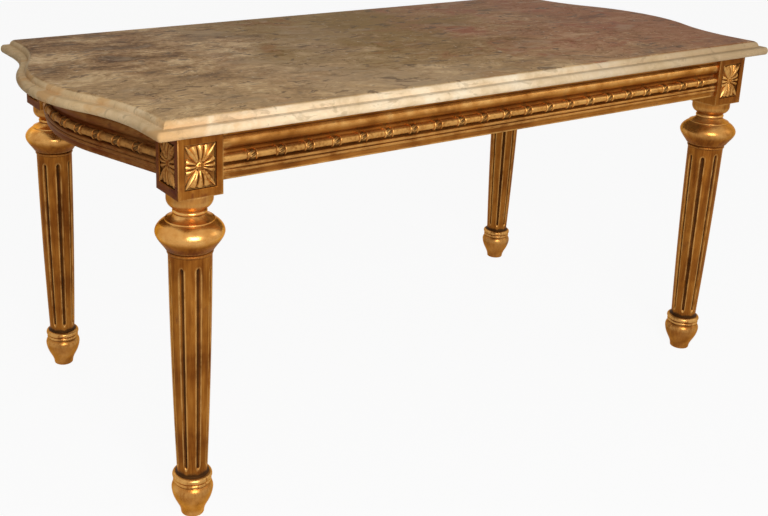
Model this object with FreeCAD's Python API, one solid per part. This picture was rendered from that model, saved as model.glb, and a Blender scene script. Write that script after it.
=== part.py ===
import FreeCAD, Part
import math
import os

# Low side table: a loose marble slab on a carved and gilded wooden frame.
# Millimetres. +X along the table, +Y to the back, +Z up, origin on the floor under the middle.

V = FreeCAD.Vector
ORIGIN = V(0, 0, 0)
UP = V(0, 0, 1)

# Whole table
table_height = 530.0            # floor to the polished surface
leg_spacing_long = 932.0        # between leg axes along X
leg_spacing_deep = 464.0        # between leg axes along Y
overrun = 5.0                   # how far every cutting body passes the wood or stone
glue_gap = 0.1                  # film of glue around dowels, spigots, rods and screws

# Marble top
marble_thickness = 20.0
marble_overhang_long = 61.0     # leg axis to the slab's corner along X
marble_overhang_deep = 48.0     # leg axis to the slab's straight edge along Y
marble_bow = 52.5               # how far each end swells past its corners
marble_shoulder = 50.0          # straight stretch of an end beside each corner
marble_nose_height = 11.2       # rounded lower part of the edge
marble_nose_undercut = 2.2
marble_nose_return = 3.4
marble_shelf = 8.6              # flat ledge above the nose
marble_step = 1.5
marble_ovolo_width = 6.2        # rounded upper part of the edge, in plan
nose_swell_share = 0.45         # height of the nose's fullest point
ovolo_in_share = 0.32           # middle of the ovolo's curve, across and up
ovolo_up_share = 0.66

# Pads between frame and marble
pad_thickness = 1.5
pad_radius = 12.0

# Corner blocks
block_side = 58.6
block_height = 76.5
panel_width = 41.0              # sunk panel on each outer face
panel_height = 54.0
panel_depth = 4.5
panel_foot = 11.0               # border under the panel

# Rosettes in the panels
rosette_play = 0.2              # gap around the carving
rosette_base = 1.2
rosette_button_radius = 6.2
rosette_button_height = 4.9     # dome and leaves rise from within the base
rosette_leaf_height = 3.4
leaf_crest_share = 0.5          # size of a leaf's crest beside its foot
leaf_upright_shares = ((0.12, 0.16), (0.58, 0.78), (0.34, 0.93), (0.0, 0.97))
leaf_level_shares = ((0.18, 0.09), (0.74, 0.44), (0.92, 0.26), (0.97, 0.0))
leaf_corner_shares = ((0.16, 0.14), (0.76, 0.58), (0.94, 0.94), (0.54, 0.76))

# Leg turning, from the floor up
foot_base_radius = 14.8
foot_base_round = 1.6
foot_radius = 26.3
foot_height = 46.0
foot_widest_share = 0.76
foot_waist_share = 0.3          # heights of the two handles of the foot's curve
foot_swell_share = 0.43
foot_waist_radius = 15.6
foot_swell_radius = 24.5
foot_brow_share = 0.89
ankle_radius = 22.6
low_ring_radius = 24.4
low_ring_height = 5.2
high_ring_radius = 25.4
high_ring_height = 8.0
ankle_cove_height = 3.8
cove_share = 0.4                # middle of each small hollow curve
shaft_foot_radius = 19.3
shaft_head_radius = 26.7
shaft_entasis = 1.2             # swelling of the shaft at its middle
cap_ring_radius = 28.2
cap_ring_height = 4.4
cap_cove_height = 2.6
bulb_seat_radius = 30.2
bulb_radius = 42.0
bulb_height = 35.2
bulb_widest_share = 0.58
bulb_skirt_share = 0.27         # handles of the bulb's lower curve, as shares of its lower part
bulb_swell_share = 0.69
bulb_brow_share = 0.35          # handles of the bulb's upper curve, as shares of its upper part
bulb_crown_share = 0.73
shoulder_radius = 30.0
shoulder_step = 1.4
shoulder_cove_height = 7.0
neck_radius = 19.6
neck_ring_radius = 20.8
neck_ring_height = 4.8
neck_fillet_height = 1.6
collar_neck_radius = 18.0
collar_radius = 28.3
collar_height = 19.0
collar_round_share = 0.58       # part of the collar's height that is rounded
collar_out_share = 0.68
collar_up_share = 0.19
spigot_radius = 12.0            # round tenon into the block
spigot_length = 30.0
spigot_room = 1.0               # hollow left above the spigot

# Flutes on the shaft
flute_count = 8
flute_radius = 3.2
flute_depth = 2.0
flute_foot_margin = 10.0
flute_head_margin = 13.0
leg_turns = {"front_left": 17.5, "front_right": 10.5, "back_left": 13.5, "back_right": 26.5}

# Rails: one moulding for all four
rail_height = 61.0
rail_thickness = 26.0
front_setback = 3.0             # rail's proudest line behind the block's face
end_setback = 2.0
rail_flank_rise = 60.0          # where the two straight flanks of a bowed rail would meet
rail_crown_length = 168.0       # rounded stretch in the middle of a bowed rail
fascia_height = 7.5
reed_radius = 2.5
quirk_height = 1.5
bed_depth = 7.0                 # sunk bed that the carved rod is glued to
bed_height = 12.6
cove_height = 5.4
cove_depth = 3.5
swell_height = 15.5             # broad rounded band
swell_depth = 3.5
fillet_height = 2.0
fillet_depth = 5.0
head_depth = 3.5                # plain band under the marble

# Carved rods
rod_radius = 5.0
rod_stand = 3.2                 # rod's axis in front of its bed
bead_pitch = 39.0
bead_length = 13.0
bead_radius = 6.1
bead_ring_radius = 5.7
bead_ring_length = 1.8
bead_waist_radius = 5.2
bead_root = 0.6                 # how deep a bead's ends start within the rod

# Dowels
dowel_radius = 4.0
dowel_in_rail = 20.0
dowel_wall = 3.0                # wood left between a dowel and the leg's spigot
dowel_inset = 11.0              # dowel axis behind the rail's proudest line
dowel_low = 10.0                # dowel axes above the rail's underside
dowel_high = 44.0
dowel_room = 0.5                # gap at each end

# Corner braces
brace_width = 30.0
brace_height = 36.0
brace_drop = 10.0               # top of the brace below the frame's top
brace_clearance = 6.0           # gap to the block's inner corner
brace_seat = 10.0               # wood under a screw head
brace_screw_share = 0.45        # place along the brace's foot
brace_screw_rise_shares = (0.25, 0.75)

# Cross bearers
bearer_width = 46.0
bearer_height = 22.0
bearer_housing = 10.0           # depth of the notch in the rail
bearer_spacing = 310.0
bearer_pad_spacing = 240.0
bearer_screw_inset = 5.0        # screw axis from the bearer's end
bearer_screw_spacing = 24.0

# Wood screws
screw_radius = 2.0
screw_head_radius = 4.0
screw_head_height = 2.6
screw_sink = 0.6                # head below the wood's surface
screw_bite = 14.0               # length held in the rail
screw_tip = 4.0
screw_play = 0.3                # hole beyond screw, radially

# Levels and planes worked out from the sizes above
marble_under = table_height - marble_thickness
frame_top = marble_under - pad_thickness
block_bottom = frame_top - block_height
rail_bottom = frame_top - rail_height
half_long = leg_spacing_long / 2
half_deep = leg_spacing_deep / 2
half_block = block_side / 2
inner_long = half_long - half_block
inner_deep = half_deep - half_block
front_plane = half_deep + half_block - front_setback
end_plane = half_long + half_block - end_setback
bearer_end = front_plane - rail_thickness + bearer_housing
dowel_in_block = half_block - spigot_radius - dowel_wall


def outline(start, steps):
    """Wire from start: a step of one point is a line, of two an arc, of three a Bezier curve."""
    edges = []
    here = start
    for step in steps:
        end = step[-1]
        if len(step) == 1:
            edges.append(Part.makeLine(here, end))
        elif len(step) == 2:
            edges.append(Part.Arc(here, step[0], end).toShape())
        else:
            curve = Part.BezierCurve()
            curve.setPoles([here, *step])
            edges.append(curve.toShape())
        here = end
    return Part.Wire(edges)


def turned(start, steps):
    """Solid turned about the Z axis from an outline in the XZ plane."""
    return Part.Face(outline(start, steps)).revolve(ORIGIN, UP, 360)


def between(low, high, share):
    return low + (high - low) * share


def midway(low, high):
    return (low + high) / 2


def along(direction, shape):
    """Turn a shape made along +Z so that it runs along a direction."""
    shape.Placement = FreeCAD.Placement(ORIGIN, FreeCAD.Rotation(UP, direction))
    return shape


def polar(centre, radius, angle):
    return centre + V(math.cos(angle), math.sin(angle), 0) * radius


def arc(centre, radius, start, end):
    """Edge of a circle in plan between two angles."""
    middle = midway(start, end)
    points = [polar(centre, radius, angle) for angle in (start, middle, end)]
    return Part.Arc(*points).toShape()


def mirrored(shape, long_way, deep_way):
    """Copy of a front left piece for another corner or side of the table."""
    copy = shape.copy()
    if long_way > 0:
        copy = copy.mirror(ORIGIN, V(1, 0, 0))
    if deep_way > 0:
        copy = copy.mirror(ORIGIN, V(0, 1, 0))
    return copy


CORNERS = {"front_left": (-1, -1), "front_right": (1, -1), "back_left": (-1, 1), "back_right": (1, 1)}


def marble_end_edges():
    """Left end of the slab in plan, front to back: shoulder, hollow, crown, hollow, shoulder."""
    corner = half_long + marble_overhang_long
    half = half_deep + marble_overhang_deep
    reach = half - marble_shoulder
    radius = (marble_bow ** 2 + reach ** 2) / (4 * marble_bow)
    turn = math.asin(reach / (2 * radius))
    hollow = V(-corner - radius, -reach, 0)
    crown = V(-corner - marble_bow + radius, 0, 0)
    edges = [Part.makeLine(V(-corner, -half, 0), V(-corner, -reach, 0))]
    edges.append(arc(hollow, radius, 0, turn))
    edges.append(arc(crown, radius, math.pi + turn, math.pi - turn))
    hollow.y = reach
    edges.append(arc(hollow, radius, -turn, 0))
    edges.append(Part.makeLine(V(-corner, reach, 0), V(-corner, half, 0)))
    return edges


def marble_waste(at):
    """Section of the stone that is ground away around the moulded edge; at places a point by
    its distance out from the nose and its height above the underside."""
    shelf = marble_nose_return + marble_shelf
    inset = shelf + marble_ovolo_width
    ledge = marble_nose_height + marble_step
    ovolo = (
        at(-between(shelf, inset, ovolo_in_share), between(ledge, marble_thickness, ovolo_up_share)),
        at(-inset, marble_thickness),
    )
    steps = [
        (at(0, marble_nose_height * nose_swell_share), at(-marble_nose_return, marble_nose_height)),
        (at(-shelf, marble_nose_height),),
        (at(-shelf, ledge),),
        ovolo,
        (at(-inset, marble_thickness + overrun),),
        (at(overrun, marble_thickness + overrun),),
        (at(overrun, -overrun),),
        (at(-marble_nose_undercut, -overrun),),
        (at(-marble_nose_undercut, 0),),
    ]
    return outline(at(-marble_nose_undercut, 0), steps)


def marble_top():
    corner = half_long + marble_overhang_long
    half = half_deep + marble_overhang_deep
    left = marble_end_edges()
    right = [edge.mirror(ORIGIN, V(1, 0, 0)) for edge in left]
    front = Part.makeLine(V(-corner, -half, 0), V(corner, -half, 0))
    back = Part.makeLine(V(-corner, half, 0), V(corner, half, 0))
    plan = Part.Wire(Part.__sortEdges__([*left, back, *right, front]))
    slab = Part.Face(plan).extrude(UP * marble_thickness)

    reach = corner + marble_bow + overrun
    front_waste = marble_waste(lambda out, up: V(-reach, -half - out, up))
    front_cut = Part.Face(front_waste).extrude(V(2 * reach, 0, 0))

    lead = [Part.makeLine(V(-corner, -half - overrun, 0), V(-corner, -half, 0))]
    tail = [Part.makeLine(V(-corner, half, 0), V(-corner, half + overrun, 0))]
    path = Part.Wire([*lead, *left, *tail])
    end_waste = marble_waste(lambda out, up: V(-corner - out, -half - overrun, up))
    end_cut = path.makePipeShell([end_waste], True, False)

    cuts = [front_cut, end_cut]
    cuts.append(front_cut.mirror(ORIGIN, V(0, 1, 0)))
    cuts.append(end_cut.mirror(ORIGIN, V(1, 0, 0)))
    slab = slab.cut(cuts)
    slab.translate(UP * marble_under)
    return slab


def shaft_levels():
    foot = foot_height + low_ring_height + high_ring_height + ankle_cove_height
    neck = collar_height + neck_fillet_height + neck_ring_height + shoulder_cove_height + shoulder_step
    head = block_bottom - neck - bulb_height - cap_cove_height - cap_ring_height
    return foot, head


def shaft_radius(level):
    foot, head = shaft_levels()
    share = (level - foot) / (head - foot)
    return between(shaft_foot_radius, shaft_head_radius, share) + 4 * shaft_entasis * share * (1 - share)


def foot_steps(at):
    """Tapered foot and the two ankle rings, from the floor to the shaft."""
    low_ring = foot_height + low_ring_height
    high_ring = low_ring + high_ring_height
    shaft_foot = high_ring + ankle_cove_height
    widest = at(foot_radius, foot_height * foot_widest_share)
    corner_share = math.sqrt(0.5)
    base_corner = foot_base_radius - foot_base_round * (1 - corner_share)
    cove_radius = between(ankle_radius, shaft_foot_radius, 1 - cove_share / 2)
    return [
        (at(foot_base_radius - foot_base_round, 0),),
        (at(base_corner, foot_base_round * (1 - corner_share)), at(foot_base_radius, foot_base_round)),
        (
            at(foot_waist_radius, foot_height * foot_waist_share),
            at(foot_swell_radius, foot_height * foot_swell_share),
            widest,
        ),
        (
            at(between(ankle_radius, foot_radius, foot_brow_share), foot_height * foot_brow_share),
            at(ankle_radius, foot_height),
        ),
        (at(low_ring_radius, midway(foot_height, low_ring)), at(ankle_radius, low_ring)),
        (at(high_ring_radius, midway(low_ring, high_ring)), at(ankle_radius, high_ring)),
        (at(cove_radius, between(high_ring, shaft_foot, cove_share)), at(shaft_foot_radius, shaft_foot)),
    ]


def bulb_steps(at, bulb_foot):
    """Flattened bulb over the shaft: lower curve to its widest line, then the upper curve."""
    widest = bulb_foot + bulb_height * bulb_widest_share
    top = bulb_foot + bulb_height
    skirt_radius = between(bulb_seat_radius, bulb_radius, bulb_skirt_share)
    crown_radius = between(shoulder_radius, bulb_radius, 1 - bulb_crown_share / 2)
    return [
        (
            at(skirt_radius, between(bulb_foot, widest, bulb_skirt_share)),
            at(bulb_radius, between(bulb_foot, widest, bulb_swell_share)),
            at(bulb_radius, widest),
        ),
        (
            at(bulb_radius, between(widest, top, bulb_brow_share)),
            at(crown_radius, between(widest, top, bulb_crown_share)),
            at(shoulder_radius, top),
        ),
    ]


def neck_steps(at, bulb_top):
    """Shoulder, neck ring, collar and spigot over the bulb."""
    shoulder = bulb_top + shoulder_step
    ring_foot = shoulder + shoulder_cove_height
    ring_top = ring_foot + neck_ring_height
    collar_foot = ring_top + neck_fillet_height
    round_top = collar_foot + collar_height * collar_round_share
    cove_radius = between(shoulder_radius, neck_radius, 1 - cove_share)
    spigot_top = block_bottom + spigot_length
    return [
        (at(shoulder_radius, shoulder),),
        (at(cove_radius, between(shoulder, ring_foot, cove_share)), at(neck_radius, ring_foot)),
        (at(neck_ring_radius, midway(ring_foot, ring_top)), at(neck_radius, ring_top)),
        (at(collar_neck_radius, collar_foot),),
        (
            at(
                between(collar_neck_radius, collar_radius, collar_out_share),
                collar_foot + collar_height * collar_up_share,
            ),
            at(collar_radius, round_top),
        ),
        (at(collar_radius, block_bottom),),
        (at(spigot_radius, block_bottom),),
        (at(spigot_radius, spigot_top),),
        (at(0, spigot_top),),
        (at(0, 0),),
    ]


def flute_cut():
    """Round-ended cutter that leans with the shaft, placed for the flute on the +X side."""
    shaft_foot, shaft_head = shaft_levels()
    low = shaft_foot + flute_foot_margin + flute_radius
    high = shaft_head - flute_head_margin - flute_radius
    stand = flute_radius - flute_depth
    start = V(shaft_radius(low) + stand, 0, low)
    end = V(shaft_radius(high) + stand, 0, high)
    length = (end - start).Length
    side = flute_radius * math.sqrt(0.5)
    steps = [
        (V(side, 0, -side), V(flute_radius, 0, 0)),
        (V(flute_radius, 0, length),),
        (V(side, 0, length + side), V(0, 0, length + flute_radius)),
        (V(0, 0, -flute_radius),),
    ]
    cutter = along(end - start, turned(V(0, 0, -flute_radius), steps))
    cutter.translate(start)
    return cutter


def leg():
    """One leg on the Z axis: turned foot, fluted shaft, bulb, collar and spigot."""
    def at(radius, level):
        return V(radius, 0, level)

    shaft_foot, shaft_head = shaft_levels()
    middle = midway(shaft_foot, shaft_head)
    cap_top = shaft_head + cap_ring_height
    bulb_foot = cap_top + cap_cove_height
    steps = foot_steps(at)
    steps.append((at(shaft_radius(middle), middle), at(shaft_head_radius, shaft_head)))
    steps.append((at(cap_ring_radius, midway(shaft_head, cap_top)), at(shaft_head_radius, cap_top)))
    steps.append((at(bulb_seat_radius, bulb_foot),))
    steps.extend(bulb_steps(at, bulb_foot))
    steps.extend(neck_steps(at, bulb_foot + bulb_height))
    body = turned(ORIGIN, steps)
    cutter = flute_cut()
    cuts = []
    for index in range(flute_count):
        copy = cutter.copy()
        copy.rotate(ORIGIN, UP, (index + 0.5) * 360 / flute_count)
        cuts.append(copy)
    return body.cut(cuts)


def rail_section(at):
    """Moulding of a rail; at places a point by its distance out from the proudest line and its
    height above the underside. From the bottom: fascia, two reeds, bed, cove, swell, fillet, head."""
    reed_one = fascia_height
    reed_two = reed_one + 2 * reed_radius
    reed_top = reed_two + 2 * reed_radius
    bed_foot = reed_top + quirk_height
    bed_top = bed_foot + bed_height
    cove_top = bed_top + cove_height
    swell_top = cove_top + swell_height
    fillet_top = swell_top + fillet_height
    cove_middle = between(bed_depth, cove_depth, cove_share / 2)
    steps = [
        (at(-reed_radius, 0),),
        (at(-reed_radius, reed_one),),
        (at(0, midway(reed_one, reed_two)), at(-reed_radius, reed_two)),
        (at(0, midway(reed_two, reed_top)), at(-reed_radius, reed_top)),
        (at(-bed_depth, bed_foot),),
        (at(-bed_depth, bed_top),),
        (at(-cove_middle, between(bed_top, cove_top, 1 - cove_share)), at(-cove_depth, cove_top)),
        (at(0, midway(cove_top, swell_top)), at(-swell_depth, swell_top)),
        (at(-fillet_depth, swell_top),),
        (at(-fillet_depth, fillet_top),),
        (at(-head_depth, fillet_top),),
        (at(-head_depth, rail_height),),
        (at(-rail_thickness, rail_height),),
        (at(-rail_thickness, 0),),
    ]
    return outline(at(-rail_thickness, 0), steps)


def rod_level():
    """Height of the carved rod's axis: the middle of its bed."""
    bed_foot = fascia_height + 4 * reed_radius + quirk_height
    return rail_bottom + bed_foot + bed_height / 2


rod_out = rod_stand - bed_depth

# Plan of the left rail's proudest line: straight flanks with a round crown between them
flank_angle = math.atan(rail_flank_rise / inner_deep)
crown_half = rail_crown_length / 2
crown_radius = crown_half / math.sin(flank_angle)
crown_centre = V(-end_plane - (inner_deep - crown_half) * math.tan(flank_angle), 0, 0)
crown_centre.x += crown_radius * math.cos(flank_angle)
flank_way = V(math.sin(flank_angle), -math.cos(flank_angle), 0)
flank_out = V(-math.cos(flank_angle), -math.sin(flank_angle), 0)


def flank_length(out):
    """Length of a flank from the crown to the block, on a line set out from the proudest line."""
    return (inner_deep - (crown_radius + out) * math.sin(flank_angle)) / math.cos(flank_angle)


def bow_point(out, travel):
    """Point and direction on a bowed line, by the travel from the crown's middle to the front."""
    radius = crown_radius + out
    arc_half = radius * flank_angle
    turn = math.copysign(min(abs(travel), arc_half), travel) / radius
    point = polar(crown_centre, radius, math.pi + turn)
    way = V(math.sin(turn), -math.cos(turn), 0)
    rest = abs(travel) - arc_half
    if rest > 0:
        point = point + way * math.copysign(rest, travel)
    return point, way


def bow_path(out):
    """Wire along a bowed line from past the front block to past the back block."""
    radius = crown_radius + out
    reach = radius * flank_angle + flank_length(out) + overrun / math.cos(flank_angle)
    ends = [bow_point(out, reach)[0], bow_point(out, -reach)[0]]
    tangents = [polar(crown_centre, radius, math.pi + turn) for turn in (flank_angle, -flank_angle)]
    front = Part.makeLine(ends[0], tangents[0])
    crown = arc(crown_centre, radius, math.pi + flank_angle, math.pi - flank_angle)
    back = Part.makeLine(tangents[1], ends[1])
    return Part.Wire([front, crown, back])


def trimmed(body):
    """Body kept between the inner faces of the left end's blocks."""
    box = body.BoundBox
    room = Part.makeBox(
        box.XLength + 2 * overrun,
        2 * inner_deep,
        box.ZLength + 2 * overrun,
        V(box.XMin - overrun, -inner_deep, box.ZMin - overrun),
    )
    return body.common(room)


def dowel_levels():
    return [rail_bottom + dowel_low, rail_bottom + dowel_high]


def front_dowel_places():
    """Mouths of the dowel holes between the front rail and the front left block."""
    return [V(-inner_long, -front_plane + dowel_inset, level) for level in dowel_levels()]


def end_dowel_places():
    return [V(-end_plane + dowel_inset, -inner_deep, level) for level in dowel_levels()]


def dowel_rods(radius, room):
    """Dowels of the front left corner, or the holes for them when room is negative."""
    length = dowel_in_block + dowel_in_rail - 2 * room
    rods = []
    for way, places in ((V(1, 0, 0), front_dowel_places()), (V(0, 1, 0), end_dowel_places())):
        for place in places:
            start = place - way * (dowel_in_block - room)
            rods.append(Part.makeCylinder(radius, length, start, way))
    return rods


def all_corners(shapes):
    return [mirrored(shape, *signs) for signs in CORNERS.values() for shape in shapes]


dowel_holes = all_corners(dowel_rods(dowel_radius + glue_gap, 0))


def corner_block():
    """Front left block: two sunk panels, a bore for the leg's spigot and dowel holes."""
    corner = V(-half_long - half_block, -half_deep - half_block, block_bottom)
    body = Part.makeBox(block_side, block_side, block_height, corner)
    level = block_bottom + panel_foot
    front = V(-half_long - panel_width / 2, corner.y - overrun, level)
    side = V(corner.x - overrun, -half_deep - panel_width / 2, level)
    cuts = [Part.makeBox(panel_width, panel_depth + overrun, panel_height, front)]
    cuts.append(Part.makeBox(panel_depth + overrun, panel_width, panel_height, side))
    bore_foot = V(-half_long, -half_deep, block_bottom - overrun)
    bore_length = spigot_length + spigot_room + overrun
    cuts.append(Part.makeCylinder(spigot_radius + glue_gap, bore_length, bore_foot, UP))
    cuts.extend(dowel_rods(dowel_radius + glue_gap, 0))
    return body.cut(cuts)


def polygon_face(points):
    return Part.Face(Part.makePolygon([*points, points[0]]))


def leaf(corners):
    """Carved leaf rooted in the rosette's base: a foot outline drawn in to a smaller crest."""
    middle = V(0, 0, 0)
    for point in corners:
        middle = middle + point * (1 / len(corners))
    rise = UP * rosette_leaf_height
    crest = [middle + (point - middle) * leaf_crest_share + rise for point in corners]
    faces = [polygon_face(corners), polygon_face(crest)]
    for index, foot in enumerate(corners):
        faces.append(polygon_face([corners[index - 1], foot, crest[index], crest[index - 1]]))
    skin = Part.makeShell(faces)
    skin.sewShape()
    return Part.makeSolid(skin)


def rosette():
    """Rosette lying in the XY plane, face up: base, four broad leaves, four corner leaves, button."""
    half_width = panel_width / 2 - rosette_play
    half_height = panel_height / 2 - rosette_play
    body = Part.makeBox(2 * half_width, 2 * half_height, rosette_base, V(-half_width, -half_height, 0))

    def at(across, up):
        return V(across * half_width, up * half_height, rosette_base / 2)

    leaves = []
    for way in (-1, 1):
        upright = [at(across, way * up) for across, up in leaf_upright_shares]
        upright += [at(-across, way * up) for across, up in reversed(leaf_upright_shares[:-1])]
        level = [at(way * across, up) for across, up in leaf_level_shares]
        level += [at(way * across, -up) for across, up in reversed(leaf_level_shares[:-1])]
        leaves += [leaf(upright), leaf(level)]
        for rise in (-1, 1):
            leaves.append(leaf([at(way * across, rise * up) for across, up in leaf_corner_shares]))
    ball = (rosette_button_radius ** 2 + rosette_button_height ** 2) / (2 * rosette_button_height)
    button = Part.makeSphere(ball, V(0, 0, rosette_button_height - ball))
    button = button.common(Part.makeCylinder(ball, 2 * ball))
    button.translate(UP * rosette_base / 2)
    return body.fuse([*leaves, button]).removeSplitter()


def panel_rosettes():
    """The two rosettes of the front left block, seated in its front and side panels."""
    level = block_bottom + panel_foot + panel_height / 2
    floor = half_block - panel_depth
    front = rosette()
    front.rotate(ORIGIN, V(1, 0, 0), 90)
    side = front.copy()
    side.rotate(ORIGIN, UP, -90)
    front.translate(V(-half_long, -half_deep - floor, level))
    side.translate(V(-half_long - floor, -half_deep, level))
    return {"front": front, "side": side}


def brace_line():
    """A point on the brace's outer long edge and the way into the frame across the brace, which
    halves the angle between the two rails."""
    inward = (V(1, 0, 0) - flank_way).normalize()
    return V(-inner_long, -inner_deep, 0) + inward * brace_clearance, inward


def brace_feet():
    """For the front and left rails: the ends of the brace's foot on the rail and the rail's
    inward normal."""
    start, inward = brace_line()
    rail_starts = [
        (V(0, -front_plane + rail_thickness, 0), V(1, 0, 0), V(0, 1, 0)),
        (bow_point(-rail_thickness, crown_radius)[0], flank_way, flank_out * -1),
    ]
    feet = []
    for base, way, normal in rail_starts:
        ends = []
        for across in (0, brace_width):
            gap = (start + inward * across - base).dot(inward)
            ends.append(base + way * (gap / way.dot(inward)))
        feet.append((ends[0], ends[1], normal))
    return feet


def brace_levels():
    foot = frame_top - brace_drop - brace_height
    return [foot + brace_height * share for share in brace_screw_rise_shares]


def brace_screw_places():
    """Points on the rails where the brace screws go in, with the way from the rail to the head."""
    places = []
    for near, far, normal in brace_feet():
        point = near + (far - near) * brace_screw_share
        places += [(V(point.x, point.y, level), normal) for level in brace_levels()]
    return places


def screw(grip):
    """Wood screw along +Z with its tip down: the head's underside is grip above the rail."""
    neck = grip
    head = neck + screw_head_height
    steps = [
        (V(screw_radius, 0, screw_tip - screw_bite),),
        (V(screw_radius, 0, neck),),
        (V(screw_head_radius, 0, neck),),
        (V(screw_head_radius, 0, head),),
        (V(0, 0, head),),
        (V(0, 0, -screw_bite),),
    ]
    return turned(V(0, 0, -screw_bite), steps)


def screw_hole(grip, reach):
    """Room for a screw: shank hole through to the tip and a wider hole for the head."""
    shank = screw_bite + grip
    body = Part.makeCylinder(screw_radius + glue_gap, shank, V(0, 0, -screw_bite))
    head = Part.makeCylinder(screw_head_radius + screw_play, reach, V(0, 0, grip))
    return body.fuse(head)


def brace_screws():
    shapes = []
    for place, normal in brace_screw_places():
        shape = along(normal, screw(brace_seat))
        shape.translate(place)
        shapes.append(shape)
    return shapes


def brace_holes():
    shapes = []
    for place, normal in brace_screw_places():
        shape = along(normal, screw_hole(brace_seat, brace_width + overrun))
        shape.translate(place)
        shapes.append(shape)
    return shapes


def corner_brace():
    """Front left brace: a bar across the corner, fitted to the inner faces of the two rails."""
    (front_near, front_far, _), (end_near, end_far, _) = brace_feet()
    foot = frame_top - brace_drop - brace_height
    plan = [front_near, front_far, end_far, end_near, front_near]
    body = Part.Face(Part.makePolygon(plan)).extrude(UP * brace_height)
    body.translate(UP * foot)
    return body.cut(brace_holes())


def bearer_screw_places():
    """Tops of the ledges in the front rail where the left bearer's screws go in."""
    level = frame_top - bearer_height
    deep = -bearer_end + bearer_screw_inset
    half = bearer_screw_spacing / 2
    return [V(-bearer_spacing / 2 + side * half, deep, level) for side in (-1, 1)]


bearer_grip = bearer_height - screw_head_height - screw_sink


def bearer_shapes(maker):
    """Screws or screw holes at the front end of the left bearer."""
    shapes = []
    for place in bearer_screw_places():
        shape = maker()
        shape.translate(place)
        shapes.append(shape)
    return shapes


def bearer_holes():
    return bearer_shapes(lambda: screw_hole(bearer_grip, screw_head_height + screw_sink + overrun))


def cross_bearer():
    """Left bearer, from the notch in the front rail to the notch in the back rail."""
    corner = V(-bearer_spacing / 2 - bearer_width / 2, -bearer_end, frame_top - bearer_height)
    body = Part.makeBox(bearer_width, 2 * bearer_end, bearer_height, corner)
    holes = bearer_holes()
    holes += [mirrored(hole, -1, 1) for hole in holes]
    return body.cut(holes)


def front_rail():
    section = rail_section(lambda out, up: V(-inner_long, -front_plane - out, rail_bottom + up))
    body = Part.Face(section).extrude(V(2 * inner_long, 0, 0))
    corner = V(-bearer_spacing / 2 - bearer_width / 2, -bearer_end, frame_top - bearer_height)
    notch = Part.makeBox(bearer_width, bearer_housing + overrun, bearer_height + overrun, corner)
    cuts = [notch, *brace_holes(), *bearer_holes()]
    cuts += [mirrored(shape, 1, -1) for shape in cuts]
    return body.cut([*cuts, *dowel_holes])


def left_rail():
    path = bow_path(0)
    start = path.Vertexes[0].Point
    section = rail_section(lambda out, up: start + flank_out * out + UP * (rail_bottom + up))
    body = trimmed(path.makePipeShell([section], True, False))
    cuts = brace_holes()
    cuts += [mirrored(shape, -1, 1) for shape in cuts]
    return body.cut([*cuts, *dowel_holes])


def bead_steps(middle, end_radius):
    """Outline of one carved bead: a barrel between two rings, rising from its end radius."""
    half = bead_length / 2
    ring = half - bead_ring_length
    low_ring = midway(-half, -ring)
    return [
        (V(end_radius, 0, middle - half),),
        (V(bead_ring_radius, 0, middle + low_ring), V(bead_waist_radius, 0, middle - ring)),
        (V(bead_radius, 0, middle), V(bead_waist_radius, 0, middle + ring)),
        (V(bead_ring_radius, 0, middle - low_ring), V(end_radius, 0, middle + half)),
    ]


def bead():
    """One bead along +Z about its middle, with its ends hidden in the rod that it is joined to."""
    half = bead_length / 2
    start = V(0, 0, -half)
    steps = bead_steps(0, rod_radius - bead_root)
    return turned(start, [*steps, (V(0, 0, half),), (start,)])


def bead_travels(length):
    """Places of the beads along a rod, measured from its middle."""
    spaces = round(length / bead_pitch)
    return [length * (index / spaces - 0.5) for index in range(1, spaces)]


def straight_rod():
    """Front rod: flat-backed, glued to the rail's bed."""
    start = V(0, 0, -inner_long)
    steps = [(V(rod_radius, 0, -inner_long),)]
    for travel in bead_travels(2 * inner_long):
        steps += bead_steps(travel, rod_radius)
    steps += [(V(rod_radius, 0, inner_long),), (V(0, 0, inner_long),), (start,)]
    body = along(V(1, 0, 0), turned(start, steps))
    body.translate(V(0, -front_plane - rod_out, rod_level()))
    size = 2 * (bead_radius + overrun)
    back = V(-inner_long - overrun, -front_plane + bed_depth - glue_gap, rod_level() - size / 2)
    return body.cut(Part.makeBox(2 * inner_long + 2 * overrun, size, size, back))


def bowed_rod():
    """Left rod: the same rod and beads along the bowed rail."""
    path = bow_path(rod_out)
    path.translate(UP * rod_level())
    start = path.Vertexes[0].Point
    ring = Part.Wire(Part.makeCircle(rod_radius, start, flank_way))
    body = path.makePipeShell([ring], True, False)
    length = 2 * (flank_length(rod_out) + (crown_radius + rod_out) * flank_angle)
    beads = []
    for travel in bead_travels(length):
        point, way = bow_point(rod_out, travel)
        shape = along(way, bead())
        shape.translate(V(point.x, point.y, rod_level()))
        beads.append(shape)
    back_line = bow_path(glue_gap - bed_depth)
    size = bead_radius + overrun
    corner = back_line.Vertexes[0].Point + UP * (rod_level() - size)
    inner = corner - flank_out * size
    face = [corner, corner + UP * 2 * size, inner + UP * 2 * size, inner, corner]
    back = back_line.makePipeShell([Part.makePolygon(face)], True, False)
    return trimmed(body.fuse(beads).removeSplitter().cut(back))


def pads():
    """Soft pads on the blocks and bearers that carry the marble."""
    corner = Part.makeCylinder(pad_radius, pad_thickness, V(-half_long, -half_deep, frame_top))
    place = V(-bearer_spacing / 2, -bearer_pad_spacing / 2, frame_top)
    return all_corners([corner, Part.makeCylinder(pad_radius, pad_thickness, place)])


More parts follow.
